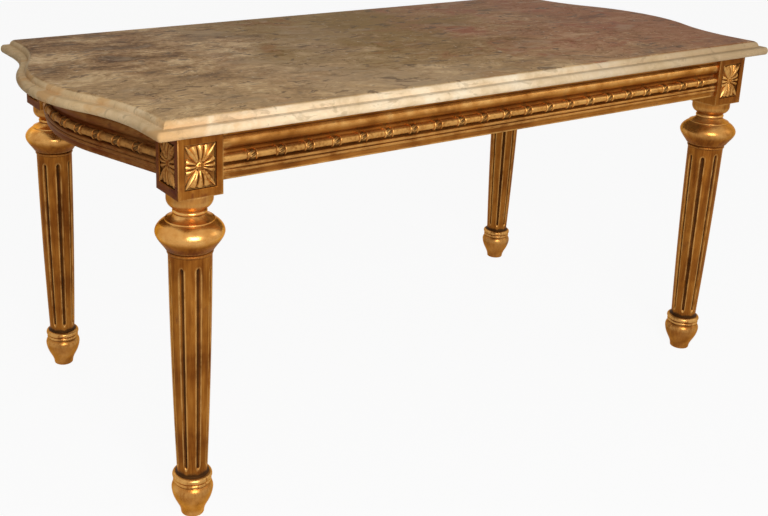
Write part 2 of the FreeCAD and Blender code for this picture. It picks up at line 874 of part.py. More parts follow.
def save(name, shapes):
    shape = shapes[0] if len(shapes) == 1 else Part.makeCompound(shapes)
    shape.exportStep(f"parts/{name}.step")
    volume = sum(solid.Volume for solid in shape.Solids)
    print(f"{name}: {len(shape.Solids)} solid(s), valid {shape.isValid()}, {volume / 1000:.2f} cm3")


os.makedirs("parts", exist_ok=True)

save("marble_top", [marble_top()])

turned_leg = leg()
block = corner_block()
brace = corner_brace()
rosettes = panel_rosettes()
for corner_name, signs in CORNERS.items():
    standing = turned_leg.copy()
    standing.rotate(ORIGIN, UP, leg_turns[corner_name])
    standing.translate(V(signs[0] * half_long, signs[1] * half_deep, 0))
    save(f"leg_{corner_name}", [standing])
    save(f"corner_block_{corner_name}", [mirrored(block, *signs)])
    save(f"corner_brace_{corner_name}", [mirrored(brace, *signs)])
    for face_name, carving in rosettes.items():
        save(f"rosette_{corner_name}_{face_name}", [mirrored(carving, *signs)])

long_pieces = {"rail": front_rail(), "carved_rod": straight_rod()}
end_pieces = {"rail": left_rail(), "carved_rod": bowed_rod(), "cross_bearer": cross_bearer()}
for piece_name, piece in long_pieces.items():
    save(f"{piece_name}_front", [piece])
    save(f"{piece_name}_back", [mirrored(piece, -1, 1)])
for piece_name, piece in end_pieces.items():
    save(f"{piece_name}_left", [piece])
    save(f"{piece_name}_right", [mirrored(piece, 1, -1)])

save("rail_dowels", all_corners(dowel_rods(dowel_radius, dowel_room)))
save("brace_screws", all_corners(brace_screws()))
save("bearer_screws", all_corners(bearer_shapes(lambda: screw(bearer_grip))))
save("marble_pads", pads())
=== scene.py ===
"""Side table: a moulded marble slab on a gilt frame with turned, fluted legs and carved rails."""
import cmath
import math

import bmesh
import bpy
import numpy as np
from mathutils import Matrix, Vector


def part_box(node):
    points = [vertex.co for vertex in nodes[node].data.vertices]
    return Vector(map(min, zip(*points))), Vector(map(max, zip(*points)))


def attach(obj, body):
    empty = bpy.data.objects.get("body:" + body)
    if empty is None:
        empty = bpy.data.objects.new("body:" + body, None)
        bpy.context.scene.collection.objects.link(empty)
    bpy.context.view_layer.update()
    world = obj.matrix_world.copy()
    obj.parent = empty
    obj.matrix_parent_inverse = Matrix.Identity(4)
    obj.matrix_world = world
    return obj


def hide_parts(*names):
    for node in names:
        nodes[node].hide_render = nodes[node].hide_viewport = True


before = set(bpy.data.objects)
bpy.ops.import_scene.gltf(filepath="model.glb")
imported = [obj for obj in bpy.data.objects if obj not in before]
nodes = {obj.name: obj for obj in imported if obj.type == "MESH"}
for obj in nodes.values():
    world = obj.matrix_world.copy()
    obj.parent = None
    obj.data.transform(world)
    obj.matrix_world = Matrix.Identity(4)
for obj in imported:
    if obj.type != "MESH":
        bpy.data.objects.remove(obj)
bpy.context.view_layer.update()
scene = bpy.context.scene
scene.view_settings.view_transform = "Standard"

MM = 0.001
SQUARE = ((-1, -1), (1, -1), (1, 1), (-1, 1))
CORNERS = {"front_left": (-1, -1), "front_right": (1, -1), "back_left": (-1, 1), "back_right": (1, 1)}

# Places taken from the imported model
block_low, block_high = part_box("corner_block_front_left")
rail_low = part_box("rail_front")[0]
slab_low, slab_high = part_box("marble_top")
block_bottom = block_low.z
half_block = (block_high.x - block_low.x) / 2
leg_x = -(block_low.x + block_high.x) / 2
leg_y = -(block_low.y + block_high.y) / 2
inner_x = leg_x - half_block
inner_y = leg_y - half_block
rail_bottom = rail_low.z
front_plane = -rail_low.y
rail_setback = 0.002
end_plane = leg_x + half_block - rail_setback

# Sunk panels and rosettes, in metres
panel_width, panel_height, panel_depth, panel_foot = 0.041, 0.054, 0.0045, 0.011
arris_round, broad_area, face_margin = 0.0007, 60e-6, 0.0018
rosette_ground = 0.0012
rosette_play = 0.0002
leaf_margin = 0.0016
carving_root = 0.0006
button_radius, button_height = 0.0062, 0.0038
# Relief given to the blocks: the panels' value paints them dark as painted shade in the sunk panels, and the
# arrises' value brightens them as rubbed gold and painted highlight
panel_relief, arris_relief = -0.75, 0.55

# Bowed rails
rail_bow, crown_half, joint_overrun = 0.060, 0.084, 0.012
flank_angle = math.atan(rail_bow / inner_y)
crown_radius = crown_half / math.sin(flank_angle)
crown_centre = end_plane + (inner_y - crown_half) * math.tan(flank_angle)
crown_centre -= crown_radius * math.cos(flank_angle)

# Carved rods
rod_radius, rod_out, rod_level = 0.005, -0.0038, rail_bottom + 0.0253
bead_pitch = 0.039

# Marble slab
slab_bow, slab_shoulder, slab_corner, least_corner = 0.0525, 0.050, 0.006, 0.0006

# Legs
shaft_head = block_bottom - 0.076
flute_count, flute_depth, flute_columns = 8, 0.0024, 4
flute_foot, flute_head, flute_end, flute_drift = 0.0765, block_bottom - 0.094, 0.0055, 0.006
leg_columns = flute_count * 28
leg_turns = {"front_left": 17.5, "front_right": 10.5, "back_left": 13.5, "back_right": 26.5}
# Brightness of each leg's burnish: the legs farther from the key light are painted darker, as painted shade
leg_light_share = {"front_left": 1.25, "front_right": 0.6, "back_left": 0.9, "back_right": 0.5}

# Burnished gold and painted light: height above the floor, the shaft's head or the rail's foot, and how
# brightly the gold is rubbed up and painted lit; the bright bulb top and rail swell are partly painted
# highlight, and a share below 0 paints shade under the bulb
foot_burnish_light = ((0.055, 0.50), (0.066, 0.0))
bulb_burnish_light = (
    (-0.002, 0.0), (0.008, -0.5), (0.020, 0.1), (0.027, 1.0), (0.042, 1.0), (0.054, 0.8), (0.062, 0.25))
swell_burnish_light = ((0.042, 0.0), (0.0465, 0.8), (0.050, 0.8), (0.0525, 0.0))

# Surfaces: rounds of smoothing that show relief, full relief in metres, angle of a sharp edge in degrees
SURFACES = {"leg": (24, 0.0008, 50), "rail": (26, 0.0011, 40), "rod": (6, 0.0004, 40),
            "rosette": (12, 0.0004, 45), "slab": (14, 0.0006, 38)}
block_sharp_angle = 40


# Node trees

def math_node(operation, turned=False):
    """Operator of a wire that adds a Math node, fed with the wire first or, turned, last."""
    def made(wire, *others):
        values = (*others, wire) if turned else (wire, *others)
        return wire.node("ShaderNodeMath", dict(enumerate(values)), operation=operation)
    return made


class Wire:
    """A socket of a node tree. Arithmetic on wires adds Math nodes, and node() adds any other node."""

    __add__, __radd__ = math_node("ADD"), math_node("ADD", True)
    __sub__, __rsub__ = math_node("SUBTRACT"), math_node("SUBTRACT", True)
    __mul__, __rmul__ = math_node("MULTIPLY"), math_node("MULTIPLY", True)
    __truediv__, __rtruediv__ = math_node("DIVIDE"), math_node("DIVIDE", True)
    __mod__, __rmod__ = math_node("MODULO"), math_node("MODULO", True)
    __gt__, __lt__ = math_node("GREATER_THAN"), math_node("LESS_THAN")
    __abs__, __floor__ = math_node("ABSOLUTE"), math_node("FLOOR")
    least, most = math_node("MINIMUM"), math_node("MAXIMUM")
    sine, cosine, arctan2, root = (math_node(name) for name in ("SINE", "COSINE", "ARCTAN2", "SQRT"))

    def __init__(self, tree, socket=None):
        self.tree, self.socket = tree, socket

    def node(self, kind, values=None, out=0, **settings):
        """New node: its settings first, then the values or wires of its inputs; gives one output."""
        made = self.tree.nodes.new(kind)
        for name, value in settings.items():
            if name == "stops":
                fill_ramp(made.color_ramp, value)
            else:
                setattr(made, name, value)
        for key, value in (values or {}).items():
            for item in value if isinstance(value, list) else [value]:
                plug(made.inputs[key], item)
        return Wire(self.tree, made.outputs[out])

    def rise(self, low, high):
        """0 at low, 1 at high and smooth between; low above high turns it round."""
        return self.node("ShaderNodeMapRange", {"Value": self, "From Min": low, "From Max": high},
                         interpolation_type="SMOOTHSTEP")

    def tint(self, under, over):
        """Colour over laid on colour under by this wire's share."""
        over = over if isinstance(over, Wire) else (*over, 1)
        return self.node("ShaderNodeMix", {0: self, 6: under, 7: over}, out=2, data_type="RGBA")

    def ramp(self, *stops):
        return self.node("ShaderNodeValToRGB", {"Fac": self}, stops=stops)

    def along(self, axis):
        """One of a vector's parts."""
        return self.node("ShaderNodeSeparateXYZ", {"Vector": self}, out=axis)

    def bump(self, strength, distance):
        return self.node("ShaderNodeBump", {"Strength": strength, "Distance": distance, "Height": self})

    def shape(self):
        """Geometry of an object."""
        return self.node("GeometryNodeObjectInfo", {"Object": self}, out="Geometry")

    def attribute(self, name):
        return self.node("ShaderNodeAttribute", out="Fac", attribute_name=name)


def plug(entry, value):
    """A wire, or a plain value, into a node's input."""
    if isinstance(value, Wire):
        value.tree.links.new(value.socket, entry)
    else:
        entry.default_value = value


def fill_ramp(ramp, stops):
    while len(ramp.elements) < len(stops):
        ramp.elements.new(1.0)
    for element, (place, colour) in zip(ramp.elements, stops):
        element.position = place
        element.color = (*colour, 1.0)


def shape_tree(name, inputs):
    """New geometry tree with named inputs; gives its input wires and a wire to build on."""
    tree = bpy.data.node_groups.new(name, "GeometryNodeTree")
    for label, kind in inputs.items():
        tree.interface.new_socket(label, in_out="INPUT", socket_type="NodeSocket" + kind)
    tree.interface.new_socket("Geometry", in_out="OUTPUT", socket_type="NodeSocketGeometry")
    source = tree.nodes.new("NodeGroupInput")
    given = {label: Wire(tree, source.outputs[label]) for label in inputs}
    return given, Wire(tree)


def close_tree(made, material):
    """Realize Instances, Set Material and the tree's output after the made geometry."""
    realized = made.node("GeometryNodeRealizeInstances", {"Geometry": made})
    dressed = made.node("GeometryNodeSetMaterial", {"Geometry": realized, "Material": material})
    end = made.tree.nodes.new("NodeGroupOutput")
    made.tree.links.new(dressed.socket, end.inputs[0])
    return made.tree


def grow(name, tree, seed, settings):
    """Mesh that a geometry tree makes from a seed mesh, as a plain object at the origin."""
    holder = bpy.data.objects.new(name + "_seed", seed)
    scene.collection.objects.link(holder)
    modifier = holder.modifiers.new("grow", "NODES")
    modifier.node_group = tree
    for item in tree.interface.items_tree:
        if item.in_out == "INPUT" and item.name in settings:
            modifier[item.identifier] = settings[item.name]
    graph = bpy.context.evaluated_depsgraph_get()
    mesh = bpy.data.meshes.new_from_object(holder.evaluated_get(graph))
    holder.modifiers.remove(modifier)
    bpy.data.objects.remove(holder)
    return standing(name, mesh)


def standing(name, mesh):
    mesh.name = name
    piece = bpy.data.objects.new(name, mesh)
    scene.collection.objects.link(piece)
    return piece


def line_mesh(points, closed=False):
    mesh = bpy.data.meshes.new("line")
    edges = [(index, index + 1) for index in range(len(points) - 1)]
    if closed:
        edges.append((len(points) - 1, 0))
    mesh.from_pydata(points, edges, [])
    return mesh


# Outlines and surfaces

def arc_through(start, middle, end, count):
    """Points after start on the circle through three points of a section."""
    a, b, c = (complex(*point) for point in (start, middle, end))
    skew = (c - a) / (b - a)
    centre = a + (b - a) * (skew - abs(skew) ** 2) / (2j * skew.imag)
    turn, sweep = (cmath.phase((point - centre) / (a - centre)) % math.tau for point in (b, c))
    if turn > sweep:
        sweep -= math.tau
    points = [centre + (a - centre) * cmath.rect(1, sweep * (index + 1) / count) for index in range(count)]
    return [(point.real, point.imag) for point in points]


def bezier(start, first, second, end, count):
    points = []
    for index in range(count):
        t = (index + 1) / count
        a, b, c, d = (1 - t) ** 3, 3 * t * (1 - t) ** 2, 3 * t * t * (1 - t), t ** 3
        points.append(tuple(a * p + b * q + c * r + d * s for p, q, r, s in zip(start, first, second, end)))
    return points


def section_line(start, steps, spacing):
    """Section as points: a step of one point is a straight, two an arc, three a free curve."""
    points = [start]
    for step in steps:
        last = points[-1]
        length = sum(math.dist(a, b) for a, b in zip((last, *step), step))
        count = max(1, math.ceil(length / spacing))
        if len(step) == 1:
            shares = [(index + 1) / count for index in range(count)]
            points += [tuple(a + (b - a) * share for a, b in zip(last, step[0])) for share in shares]
        elif len(step) == 2:
            points += arc_through(last, *step, max(3, count))
        else:
            points += bezier(last, *step, max(3, count))
    return points


def softened(points, radius, least=25):
    """Section with its sharp corners rounded off, as hand-finished wood has them."""
    made = [points[0]]
    for before, corner, after in zip(points, points[1:], points[2:]):
        back, on = Vector(before) - Vector(corner), Vector(after) - Vector(corner)
        if math.degrees(math.pi - back.angle(on, math.pi)) < least:
            made.append(corner)
            continue
        reach = min(radius, back.length * 0.45, on.length * 0.45)
        first = Vector(corner) + back.normalized() * reach
        last = Vector(corner) + on.normalized() * reach
        middle = (first + last) / 4 + Vector(corner) / 2
        made += [tuple(first), tuple(middle), tuple(last)]
    return [*made, points[-1]]


def points_of(mesh):
    places = np.empty(len(mesh.vertices) * 3)
    mesh.vertices.foreach_get("co", places)
    return places.reshape(-1, 3)


def mark(mesh, name, values):
    """New attribute with a value for each point."""
    attribute = mesh.attributes.new(name, "FLOAT", "POINT")
    attribute.data.foreach_set("value", values.astype(np.float32))


def mark_relief(mesh, rounds, full):
    """Attribute relief: how far each point stands out (+1) or lies back (-1) from its surroundings."""
    places = points_of(mesh)
    normals = np.empty(places.size)
    mesh.vertex_normals.foreach_get("vector", normals)
    ends = np.empty(len(mesh.edges) * 2, dtype=int)
    mesh.edges.foreach_get("vertices", ends)
    first, second = ends[0::2], ends[1::2]
    degree = np.maximum(np.bincount(ends, minlength=len(places)), 1)[:, None]
    mean = places.copy()
    for _ in range(rounds):
        total = np.zeros_like(mean)
        np.add.at(total, first, mean[second])
        np.add.at(total, second, mean[first])
        mean = (mean + total / degree) / 2
    stand = ((places - mean) * normals.reshape(-1, 3)).sum(axis=1) / full
    mark(mesh, "relief", np.clip(stand, -1, 1))


def mark_burnish_and_light(mesh, table):
    """Attribute of how brightly the gold is rubbed up and painted lit, by the height of each point; shares
    below 0 paint shade.
    """
    mark(mesh, "burnish", np.interp(points_of(mesh)[:, 2], *zip(*table)))


def closed_up(mesh, reach=None):
    """Merges doubled points, fills open ends and turns faces outwards, after a cut at reach along Y."""
    shell = bmesh.new()
    shell.from_mesh(mesh)
    for side in (-1, 1) if reach else ():
        whole = [*shell.verts, *shell.edges, *shell.faces]
        cut = bmesh.ops.bisect_plane(shell, geom=whole, dist=1e-7, plane_co=(0, side * reach, 0),
                                     plane_no=(0, side, 0), clear_outer=True)["geom_cut"]
        edges = [item for item in cut if isinstance(item, bmesh.types.BMEdge)]
        bmesh.ops.edgenet_fill(shell, edges=edges)
    bmesh.ops.remove_doubles(shell, verts=shell.verts, dist=1e-6)
    bmesh.ops.holes_fill(shell, edges=[edge for edge in shell.edges if edge.is_boundary], sides=0)
    bmesh.ops.recalc_face_normals(shell, faces=shell.faces)
    shell.to_mesh(mesh)
    shell.free()


def smooth(mesh, angle):
    mesh.shade_smooth()
    mesh.set_sharp_from_angle(angle=math.radians(angle))


def surfaced(mesh, kind):
    rounds, full, sharp = SURFACES[kind]
    mark_relief(mesh, rounds, full)
    smooth(mesh, sharp)


def loft(shell, loops, foot=True):
    """Faces between closed rings of points, over the last ring and, with foot, over the first."""
    for low, high in zip(loops, loops[1:]):
        for index in range(len(low)):
            on = (index + 1) % len(low)
            shell.faces.new((low[index], low[on], high[on], high[index]))
    if foot:
        shell.faces.new(list(reversed(loops[0])))
    shell.faces.new(loops[-1])


def mesh_of(shell):
    mesh = bpy.data.meshes.new("shell")
    shell.to_mesh(mesh)
    shell.free()
    return mesh


# Finishes

def finish(name):
    """New material: gives it with its shader and a wire to build on."""
    material = bpy.data.materials.new(name)
    material.use_nodes = True
    tree = material.node_tree
    return material, tree.nodes["Principled BSDF"], Wire(tree)


def feed(shader, **values):
    for name, value in values.items():
        plug(shader.inputs[name.replace("_", " ")], value)


def place_of(wire, scale=(1, 1, 1)):
    spot = wire.node("ShaderNodeTexCoord", out="Object")
    return wire.node("ShaderNodeMapping", {"Vector": spot, "Scale": scale})


def noise(place, scale, detail=3.0, rough=0.5, twist=0.0):
    return place.node("ShaderNodeTexNoise", {
        "Vector": place, "Scale": scale, "Detail": detail, "Roughness": rough, "Distortion": twist})


def gilding(name, grain, polish=0.0, red_and_shade=0.0):
    """Old gilding over red clay, drawn along the grain. It is brighter where burnished and on proud parts,
    partly rubbed gold and partly painted highlight; near-black in the hollows, partly patina and partly
    painted shade; and darker red where its clay share is set, partly worn gilding and partly painted shade.
    """
    material, shader, wire = finish(name)
    place = place_of(wire)
    along = place_of(wire, grain)
    relief = wire.attribute("relief")
    # Rubbed-up gold and painted light by height: painted highlight on the bulb's top and the rail's swell,
    # painted shade under the bulb
    burnish = wire.attribute("burnish")
    streak = noise(along, 1.0, 5.0, 0.6)
    thread = noise(along, 3.1, 3.0, 0.55)
    patch = noise(place, 17.0, 3.0, 0.55, 0.4)
    cloud = noise(place, 55.0, 4.0, 0.6)
    grit = noise(place, 640.0, 2.0, 0.6)
    tone = streak * 0.36 + patch * 0.48 + thread * 0.16
    gold = tone.ramp(
        (0.32, (0.075, 0.018, 0.003)),
        (0.45, (0.180, 0.053, 0.007)),
        (0.55, (0.285, 0.100, 0.014)),
        (0.68, (0.430, 0.180, 0.032)),
    )
    bright = (patch * 0.6 + cloud * 0.4).ramp(
        (0.36, (0.400, 0.150, 0.026)),
        (0.50, (0.610, 0.275, 0.066)),
        (0.64, (0.780, 0.430, 0.135)),
    )
    shine = ((burnish + polish) * (0.55 + 0.8 * cloud)).least(1.0)
    colour = (shine * 0.92).tint(gold, bright)
    # Dark red clay: random worn patches, the material's own clay share, and painted shade under the bulb
    # where the burnish share is below 0; the end materials' large share is painted shade, partly redder worn
    # gilding
    clay_and_shade = (patch + streak * 0.5).rise(0.84, 0.98) * cloud.rise(0.42, 0.62) * (1 - 0.6 * shine)
    clay_and_shade = clay_and_shade * 0.7 + red_and_shade + burnish.rise(0.0, -1.0) * 0.8
    colour = clay_and_shade.tint(colour, (0.100, 0.018, 0.004))
    # Paler gold on proud points, partly rubbed gold and partly painted highlight
    rubbed_and_highlight = relief.rise(0.12, 0.75) * (cloud * 0.5 + thread * 0.5).rise(0.34, 0.56)
    colour = (rubbed_and_highlight * 0.68 * (1 - red_and_shade)).tint(colour, (0.640, 0.350, 0.105))
    # Near-black in the hollows and sunk panels: partly patina, partly painted shade where the recesses lie
    # in shadow
    hollow_patina_shade = (relief + (cloud - 0.5) * 0.5).rise(-0.10, -0.75)
    colour = (hollow_patina_shade * 0.92).tint(colour, (0.024, 0.009, 0.003))
    # Darker sunk barrels of the beads, as painted shade between their rings
    knot = wire.attribute("knot")
    colour = (knot * (0.55 + 0.4 * cloud)).tint(colour, (0.060, 0.032, 0.012))
    speck = grit.rise(0.68, 0.76) * (1 - rubbed_and_highlight)
    colour = (speck * 0.4).tint(colour, (0.055, 0.021, 0.008))
    rough = 0.29 + 0.14 * cloud + 0.26 * hollow_patina_shade + 0.14 * clay_and_shade - 0.13 * shine
    metal = (0.72 + 0.18 * shine - 0.5 * hollow_patina_shade) * (1 - 0.8 * clay_and_shade)
    height = thread * 0.3 + cloud * 0.5 + grit * 0.16 - speck * 0.3
    feed(shader, Base_Color=colour, Roughness=rough, Metallic=metal, Normal=height.bump(0.25, 0.0009),
         Specular_IOR_Level=0.14 * (1 - red_and_shade), Specular_Tint=(1.0, 0.62, 0.28, 1))
    return material


def stone():
    """Brown marble: drawn-out mottling, short dark veins, olive and red clouds, paler towards the front and
    the left. Its cream edges are paler than the top, partly as honed stone and partly as painted light, and
    darker towards the right.
    """
    material, shader, wire = finish("brown_marble")
    place = place_of(wire)
    drift = wire.node("ShaderNodeTexNoise", {"Vector": place, "Scale": 6.0, "Detail": 3.0}, out="Color")
    bent = wire.node("ShaderNodeVectorMath", {0: drift, 1: (0.05, 0.05, 0.05), 2: place},
                     operation="MULTIPLY_ADD")
    bed = wire.node("ShaderNodeMapping", {
        "Vector": bent, "Scale": (15.0, 27.0, 27.0), "Rotation": (0.0, 0.0, math.radians(16))})
    layer = noise(bed, 1.0, 4.0, 0.55, 0.5)
    broad = noise(bed, 0.45, 2.0, 0.5, 0.4)
    dash = noise(bed, 2.3, 4.0, 0.6, 0.7)
    vein = noise(bed, 0.75, 6.0, 0.62, 1.1)
    cloud = noise(bent, 4.0, 3.0, 0.55, 0.4)
    rust = noise(bent, 15.0, 4.0, 0.6, 0.6)
    fine = noise(bent, 130.0, 4.0, 0.65)
    grain = noise(place, 430.0, 2.0, 0.6)
    side, depth, level = (place.along(axis) for axis in "XYZ")
    tone = layer * 0.30 + dash * 0.20 + broad * 0.20 + cloud * 0.12 + fine * 0.18
    colour = tone.ramp(
        (0.43, (0.105, 0.044, 0.012)),
        (0.47, (0.255, 0.130, 0.045)),
        (0.52, (0.440, 0.258, 0.112)),
        (0.57, (0.690, 0.475, 0.255)),
    )
    # Paler towards the front and the left
    front_left_paler = (cloud * 0.6 - depth - side * 0.25).rise(0.30, 0.62)
    colour = (front_left_paler * 0.42).tint(colour, (0.600, 0.410, 0.205))
    hazy = abs(side + 0.16 + (cloud - 0.5) * 0.4).rise(0.20, 0.03) * rust.rise(0.30, 0.55)
    colour = (hazy * 0.42).tint(colour, (0.560, 0.395, 0.235))
    middle = abs(side - 0.03 + (cloud - 0.5) * 0.7 + (rust - 0.5) * 0.4).rise(0.34, 0.0)
    olive = middle * (depth + cloud * 0.6 + (rust - 0.5) * 0.8).rise(-0.05, 0.40)
    colour = (olive * 0.95).tint(colour, (0.262, 0.146, 0.028))
    warm = (side + (cloud - 0.5) * 1.1 + (rust - 0.5) * 0.7 + depth * 0.2).rise(-0.06, 0.50)
    colour = (warm * 0.80).tint(colour, (0.345, 0.122, 0.044))
    iron = rust.rise(0.56, 0.66) * (0.25 + 0.75 * warm)
    colour = (iron * 0.6).tint(colour, (0.300, 0.078, 0.030))
    short = dash.rise(0.55, 0.66)
    colour = (short * 0.70).tint(colour, (0.085, 0.045, 0.023))
    crack = abs(vein - 0.5).rise(0.022, 0.0) * cloud.rise(0.38, 0.58)
    colour = (crack * 0.35).tint(colour, (0.070, 0.036, 0.019))
    milk = (1 - layer).rise(0.52, 0.64) * rust.rise(0.42, 0.60)
    colour = (milk * 0.38).tint(colour, (0.520, 0.365, 0.205))
    fleck = fine.rise(0.62, 0.72)
    colour = (fleck * 0.60).tint(colour, (0.600, 0.490, 0.350))
    spot = grain.rise(0.64, 0.74) * layer.rise(0.35, 0.6)
    colour = (spot * 0.5).tint(colour, (0.050, 0.028, 0.016))
    # The moulded edge is painted paler than the top, partly as honed stone and partly as painted light on
    # the edge facing the lamp
    lit_edge = (level + (fine - 0.5) * 0.002).rise(slab_high.z - 0.0002, slab_high.z - 0.0018)
    pale = (tone * 0.6 + rust * 0.4).ramp(
        (0.38, (0.540, 0.385, 0.215)),
        (0.50, (0.760, 0.600, 0.400)),
        (0.62, (0.860, 0.755, 0.570)),
    )
    tanned = (side + (cloud - 0.5) * 0.3).rise(-0.40, -0.52)
    pale = (tanned * 0.5).tint(pale, (0.600, 0.400, 0.180))
    amber = rust.rise(0.45, 0.58) * (side + (cloud - 0.5) * 0.5).rise(-0.20, -0.48)
    pale = (amber * 0.65).tint(pale, (0.560, 0.285, 0.085))
    # Edges darker towards the right
    edge_darker_right = (side + (cloud - 0.5) * 0.25).rise(-0.15, 0.45)
    pale = (edge_darker_right * 0.78).tint(pale, (0.440, 0.315, 0.170))
    streaked = (dash.rise(0.56, 0.66) * 0.4 + crack * 0.12).tint(pale, (0.330, 0.215, 0.110))
    colour = (lit_edge * 0.86).tint(colour, streaked)
    relief = wire.attribute("relief")
    # Darker in the moulding's hollows, as painted shade
    colour = (relief.rise(-0.25, -0.9) * 0.12).tint(colour, (0.260, 0.165, 0.085))
    rough = 0.30 + 0.12 * fine + 0.14 * lit_edge + 0.12 * crack
    height = grain * 0.3 + fine * 0.4 - crack * 0.5 - spot * 0.3
    feed(shader, Base_Color=colour, Roughness=rough, Normal=height.bump(0.12, 0.0006),
         Specular_IOR_Level=0.006)
    return material


def bare_wood(name, grain):
    """Unfinished brown secondary wood: rings and pores drawn along the grain."""
    material, shader, wire = finish(name)
    place = place_of(wire)
    along = place_of(wire, grain)
    ring = noise(along, 1.0, 4.0, 0.6, 0.8)
    pore = noise(along, 6.5, 2.0, 0.6)
    patch = noise(place, 12.0, 3.0)
    colour = (ring * 0.7 + patch * 0.3).ramp(
        (0.32, (0.150, 0.078, 0.038)),
        (0.50, (0.270, 0.155, 0.080)),
        (0.68, (0.390, 0.245, 0.135)),
    )
    open_pore = pore.rise(0.60, 0.70)
    colour = (open_pore * 0.55).tint(colour, (0.085, 0.042, 0.020))
    rough = 0.62 + 0.2 * pore
    bump = (ring * 0.4 - open_pore).bump(0.3, 0.0006)
    feed(shader, Base_Color=colour, Roughness=rough, Normal=bump)
    return material


def old_steel():
    """Dull screw steel with brown spots."""
    material, shader, wire = finish("screw_steel")
    place = place_of(wire)
    cloud = noise(place, 330.0, 4.0, 0.6)
    spot = noise(place, 900.0, 3.0, 0.6).rise(0.56, 0.68)
    colour = cloud.ramp((0.35, (0.20, 0.19, 0.18)), (0.65, (0.46, 0.45, 0.43)))
    colour = (spot * 0.7).tint(colour, (0.150, 0.060, 0.025))
    bump = cloud.bump(0.2, 0.0002)
    feed(shader, Base_Color=colour, Roughness=0.34 + 0.4 * spot, Metallic=0.95 - 0.7 * spot, Normal=bump)
    return material


def cork():
    """Cork pads under the slab: grains in two browns."""
    material, shader, wire = finish("cork_pad")
    place = place_of(wire)
    cell = wire.node("ShaderNodeTexVoronoi", {"Vector": place, "Scale": 650.0}, out="Color")
    share = cell.along("X")
    colour = share.ramp((0.1, (0.170, 0.090, 0.042)), (0.9, (0.430, 0.270, 0.140)))
    bump = share.bump(0.4, 0.0004)
    feed(shader, Base_Color=colour, Roughness=0.75 + 0.2 * share, Normal=bump)
    return material


gilt_upright = gilding("gilding_upright", (150.0, 150.0, 9.0))
gilt_long = gilding("gilding_long", (7.0, 130.0, 170.0), polish=0.10)
gilt_block = gilding("gilding_block", (150.0, 150.0, 9.0), red_and_shade=0.10)
# Shaded copies: the end rails, the blocks' end faces, the end rods and the side rosettes are painted darker
# and redder, as painted shade on faces turned from the light, partly also redder worn gilding
gilt_shaded_end = gilding("gilding_shaded_end", (130.0, 7.0, 170.0), red_and_shade=0.76)
gilt_carved = gilding("gilding_carved", (90.0, 90.0, 90.0), polish=0.38)
gilt_shaded_carving = gilding("gilding_shaded_carving", (90.0, 90.0, 90.0), polish=0.08, red_and_shade=0.45)
brown_marble = stone()
wood_long = bare_wood("bare_wood_long", (6.0, 90.0, 90.0))
wood_deep = bare_wood("bare_wood_deep", (90.0, 6.0, 90.0))
steel = old_steel()
cork_pad = cork()


def join_frame(piece, node, body="frame"):
    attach(piece, body)
    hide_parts(node)


# Turned legs

def leg_outline():
    """Radius and height of the turning from the middle of the foot to the collar's top, in metres."""
    top = block_bottom / MM
    foot = section_line((0.0, 0.0), [
        ((13.2, 0.0),),
        ((14.33, 0.47), (14.8, 1.6)),
        ((15.6, 13.8), (24.5, 19.78), (26.3, 34.96)),
        ((25.893, 40.94), (22.6, 46.0)),
        ((24.4, 48.6), (22.6, 51.2)),
        ((25.4, 55.2), (22.6, 59.2)),
        ((19.96, 60.72), (19.3, 63.0)),
    ], spacing=1.1)
    ankle, neck = 63.0, shaft_head / MM
    close, wide = 0.9, 4.0
    levels = [ankle]
    while levels[-1] < neck - 0.5:
        to_flute_end = min(abs(levels[-1] - ankle - 10), abs(neck - 18 - levels[-1]) - 8)
        levels.append(min(levels[-1] + (close if to_flute_end < 5 else wide), neck))
    shaft = []
    for level in levels[1:]:
        share = (level - ankle) / (neck - ankle)
        shaft.append((19.3 + 7.4 * share + 4.8 * share * (1 - share), level))
    head = section_line(shaft[-1], [
        ((28.2, neck + 2.2), (26.7, neck + 4.4)),
        ((30.2, neck + 7.0),),
        ((33.39, neck + 12.51), (42.0, neck + 21.09), (42.0, neck + 27.42)),
        ((42.0, neck + 32.59), (37.62, neck + 38.21), (30.0, neck + 42.2)),
        ((30.0, neck + 43.6),),
        ((23.76, neck + 46.4), (19.6, neck + 50.6)),
        ((21.0, neck + 53.0), (19.6, neck + 55.4)),
        ((18.0, top - 19.0),),
        ((25.0, top - 15.39), (28.3, top - 7.98)),
        ((28.3, top),),
        ((0.0, top),),
    ], spacing=1.1)[1:]
    points = softened([*foot, *shaft, *head], radius=0.45)
    return [(radius * MM, level * MM) for radius, level in points]


